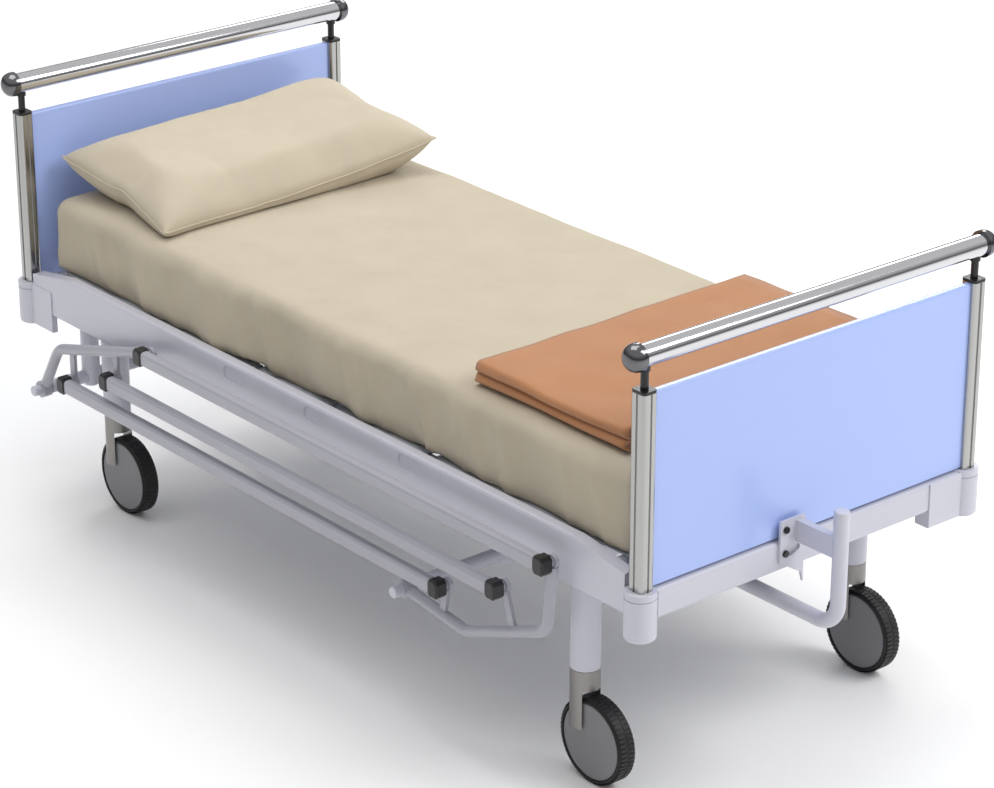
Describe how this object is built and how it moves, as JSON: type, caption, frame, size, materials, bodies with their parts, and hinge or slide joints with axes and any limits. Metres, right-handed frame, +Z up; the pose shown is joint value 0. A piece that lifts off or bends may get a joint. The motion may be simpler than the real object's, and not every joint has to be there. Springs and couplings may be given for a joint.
{
  "type": "adjustable hospital bed",
  "caption": "Adjustable hospital bed with a tilting four-part platform, folding side guards, blue end boards, swivel casters, mattress, pillow and folded blanket.",
  "frame": {"origin": "on the floor, below the middle of the overall length and width", "axes": "+Z up, +Y toward the head end, -X the bed's left side in this frame"},
  "size_m": [1.072, 2.3399, 1.0425],
  "materials": {
    "frame_lacquer": "satin powder coat",
    "frame_grey": "satin powder coat",
    "frame_white": "satin powder coat",
    "aluminium": "satin anodised",
    "chrome_tube": "polished",
    "black_cap": "moulded",
    "blue_panel": "smooth laminate",
    "platform_steel": "powder coat",
    "motor_plastic": "fine texture",
    "sheet_cotton": "woven cotton",
    "pillow_cotton": "woven cotton",
    "blanket_wool": "brushed wool",
    "rod_steel": "ground",
    "guard_silver": "metallic coat",
    "fork_steel": "satin steel",
    "disc_grey": "moulded",
    "tyre_black": "rubber"
  },
  "bodies": {
    "root": {"corner_sockets": "frame_grey", "end_posts": "aluminium", "post_caps": "black_cap", "top_rail_caps": "black_cap", "end_panels": "blue_panel", "top_rails": "chrome_tube", "side_beams": "frame_lacquer", "end_beams": "frame_lacquer", "cross_tubes": "frame_lacquer", "leg_columns": "frame_white", "guard_cross_shafts": "frame_grey", "guard_hangers": "frame_grey", "seat_platform": "platform_steel", "mattress_seat": "sheet_cotton", "platform_brackets": "platform_steel", "backrest_actuator": "motor_plastic", "thigh_actuator": "motor_plastic", "holder_tube": "frame_grey", "holder_bracket": "frame_grey", "holder_screws": "black_cap"},
    "backrest": {"backrest_platform": "platform_steel", "mattress_backrest": "sheet_cotton", "pillow": "pillow_cotton"},
    "thigh": {"thigh_platform": "platform_steel", "mattress_thigh": "sheet_cotton"},
    "calf": {"calf_platform": "platform_steel", "mattress_calf": "sheet_cotton", "blanket": "blanket_wool"},
    "backrest_rod": {"backrest_push_rod": "rod_steel"},
    "thigh_rod": {"thigh_push_rod": "rod_steel"},
    "guard_head_arm_left": {"guard_head_arm_left": "guard_silver"},
    "guard_foot_arm_left": {"guard_foot_arm_left": "guard_silver"},
    "guard_top_bar_left": {"guard_top_bar_left": "guard_silver", "guard_top_joints_left": "black_cap"},
    "guard_middle_bar_left": {"guard_middle_bar_left": "guard_silver", "guard_middle_joints_left": "black_cap"},
    "guard_low_bar_left": {"guard_low_bar_left": "guard_silver", "guard_low_joints_left": "black_cap"},
    "release_knob_left": {"release_knob_left": "frame_grey"},
    "guard_head_arm_right": {"guard_head_arm_right": "guard_silver"},
    "guard_foot_arm_right": {"guard_foot_arm_right": "guard_silver"},
    "guard_top_bar_right": {"guard_top_bar_right": "guard_silver", "guard_top_joints_right": "black_cap"},
    "guard_middle_bar_right": {"guard_middle_bar_right": "guard_silver", "guard_middle_joints_right": "black_cap"},
    "guard_low_bar_right": {"guard_low_bar_right": "guard_silver", "guard_low_joints_right": "black_cap"},
    "release_knob_right": {"release_knob_right": "frame_grey"},
    "caster_head_left": {"caster_fork_head_left": "fork_steel"},
    "wheel_head_left": {"caster_disc_head_left": "disc_grey", "caster_tyre_head_left": "tyre_black"},
    "caster_head_right": {"caster_fork_head_right": "fork_steel"},
    "wheel_head_right": {"caster_disc_head_right": "disc_grey", "caster_tyre_head_right": "tyre_black"},
    "caster_foot_left": {"caster_fork_foot_left": "fork_steel"},
    "wheel_foot_left": {"caster_disc_foot_left": "disc_grey", "caster_tyre_foot_left": "tyre_black"},
    "caster_foot_right": {"caster_fork_foot_right": "fork_steel"},
    "wheel_foot_right": {"caster_disc_foot_right": "disc_grey", "caster_tyre_foot_right": "tyre_black"}
  },
  "joints": [
    {"name": "backrest_tilt", "type": "hinge", "parent": "root", "child": "backrest", "pos_m": [0, 0.291, 0.54], "axis": [1, 0, 0], "range_deg": [0, 70]},
    {"name": "thigh_tilt", "type": "hinge", "parent": "root", "child": "thigh", "pos_m": [0, -0.003, 0.54], "axis": [-1, 0, 0], "range_deg": [0, 35]},
    {"name": "calf_tilt", "type": "hinge", "parent": "thigh", "child": "calf", "pos_m": [0, -0.327, 0.54], "axis": [-1, 0, 0], "range_deg": [-53.2, 0]},
    {"name": "backrest_rod_slide", "type": "slide", "parent": "root", "child": "backrest_rod", "axis": [0, 1, 0], "range_m": [0, 0.1731]},
    {"name": "thigh_rod_slide", "type": "slide", "parent": "root", "child": "thigh_rod", "axis": [0, -1, 0], "range_m": [0, 0.0732]},
    {"name": "guard_raise_left", "type": "hinge", "parent": "root", "child": "guard_head_arm_left", "pos_m": [-0.494, 1.036, 0.29], "axis": [-1, 0, 0], "range_deg": [0, 63]},
    {"name": "guard_foot_arm_turn_left", "type": "hinge", "parent": "root", "child": "guard_foot_arm_left", "pos_m": [-0.494, -0.346, 0.29], "axis": [-1, 0, 0], "range_deg": [0, 63.2]},
    {"name": "guard_top_bar_turn_left", "type": "hinge", "parent": "guard_head_arm_left", "child": "guard_top_bar_left", "pos_m": [-0.521, 0.573, 0.525], "axis": [-1, 0, 0], "range_deg": [-63.2, 0]},
    {"name": "guard_middle_bar_turn_left", "type": "hinge", "parent": "guard_head_arm_left", "child": "guard_middle_bar_left", "pos_m": [-0.521, 0.719, 0.417], "axis": [-1, 0, 0], "range_deg": [-63.2, 0]},
    {"name": "guard_low_bar_turn_left", "type": "hinge", "parent": "guard_head_arm_left", "child": "guard_low_bar_left", "pos_m": [-0.521, 0.901, 0.35], "axis": [-1, 0, 0], "range_deg": [-63.2, 0]},
    {"name": "release_knob_pull_left", "type": "slide", "parent": "root", "child": "release_knob_left", "axis": [-1, 0, 0], "range_m": [0, 0.008], "stiffness_N_per_m": 600, "springref_m": -0.004},
    {"name": "guard_raise_right", "type": "hinge", "parent": "root", "child": "guard_head_arm_right", "pos_m": [0.494, 1.036, 0.29], "axis": [-1, 0, 0], "range_deg": [0, 63]},
    {"name": "guard_foot_arm_turn_right", "type": "hinge", "parent": "root", "child": "guard_foot_arm_right", "pos_m": [0.494, -0.346, 0.29], "axis": [-1, 0, 0], "range_deg": [0, 63.2]},
    {"name": "guard_top_bar_turn_right", "type": "hinge", "parent": "guard_head_arm_right", "child": "guard_top_bar_right", "pos_m": [0.521, 0.573, 0.525], "axis": [-1, 0, 0], "range_deg": [-63.2, 0]},
    {"name": "guard_middle_bar_turn_right", "type": "hinge", "parent": "guard_head_arm_right", "child": "guard_middle_bar_right", "pos_m": [0.521, 0.719, 0.417], "axis": [-1, 0, 0], "range_deg": [-63.2, 0]},
    {"name": "guard_low_bar_turn_right", "type": "hinge", "parent": "guard_head_arm_right", "child": "guard_low_bar_right", "pos_m": [0.521, 0.901, 0.35], "axis": [-1, 0, 0], "range_deg": [-63.2, 0]},
    {"name": "release_knob_pull_right", "type": "slide", "parent": "root", "child": "release_knob_right", "axis": [1, 0, 0], "range_m": [0, 0.008], "stiffness_N_per_m": 600, "springref_m": -0.004},
    {"name": "swivel_head_left", "type": "hinge", "parent": "root", "child": "caster_head_left", "pos_m": [-0.38, 0.9, 0.245], "axis": [0, 0, 1], "continuous": true},
    {"name": "wheel_spin_head_left", "type": "hinge", "parent": "caster_head_left", "child": "wheel_head_left", "pos_m": [-0.38, 0.86, 0.094], "axis": [1, 0, 0], "continuous": true},
    {"name": "swivel_head_right", "type": "hinge", "parent": "root", "child": "caster_head_right", "pos_m": [0.38, 0.9, 0.245], "axis": [0, 0, 1], "continuous": true},
    {"name": "wheel_spin_head_right", "type": "hinge", "parent": "caster_head_right", "child": "wheel_head_right", "pos_m": [0.38, 0.86, 0.094], "axis": [1, 0, 0], "continuous": true},
    {"name": "swivel_foot_left", "type": "hinge", "parent": "root", "child": "caster_foot_left", "pos_m": [-0.38, -0.78, 0.245], "axis": [0, 0, 1], "continuous": true},
    {"name": "wheel_spin_foot_left", "type": "hinge", "parent": "caster_foot_left", "child": "wheel_foot_left", "pos_m": [-0.38, -0.82, 0.094], "axis": [1, 0, 0], "continuous": true},
    {"name": "swivel_foot_right", "type": "hinge", "parent": "root", "child": "caster_foot_right", "pos_m": [0.38, -0.78, 0.245], "axis": [0, 0, 1], "continuous": true},
    {"name": "wheel_spin_foot_right", "type": "hinge", "parent": "caster_foot_right", "child": "wheel_foot_right", "pos_m": [0.38, -0.82, 0.094], "axis": [1, 0, 0], "continuous": true}
  ],
  "couplings": [
    {"joint": "calf_tilt", "follows": "thigh_tilt", "ratio": -1.517},
    {"joint": "backrest_rod_slide", "follows": "backrest_tilt", "m_per_rad": 0.14084},
    {"joint": "thigh_rod_slide", "follows": "thigh_tilt", "m_per_rad": 0.11814},
    {"joint": "guard_foot_arm_turn_left", "follows": "guard_raise_left", "ratio": 1},
    {"joint": "guard_top_bar_turn_left", "follows": "guard_raise_left", "ratio": -1},
    {"joint": "guard_middle_bar_turn_left", "follows": "guard_raise_left", "ratio": -1},
    {"joint": "guard_low_bar_turn_left", "follows": "guard_raise_left", "ratio": -1},
    {"joint": "guard_foot_arm_turn_right", "follows": "guard_raise_right", "ratio": 1},
    {"joint": "guard_top_bar_turn_right", "follows": "guard_raise_right", "ratio": -1},
    {"joint": "guard_middle_bar_turn_right", "follows": "guard_raise_right", "ratio": -1},
    {"joint": "guard_low_bar_turn_right", "follows": "guard_raise_right", "ratio": -1}
  ]
}
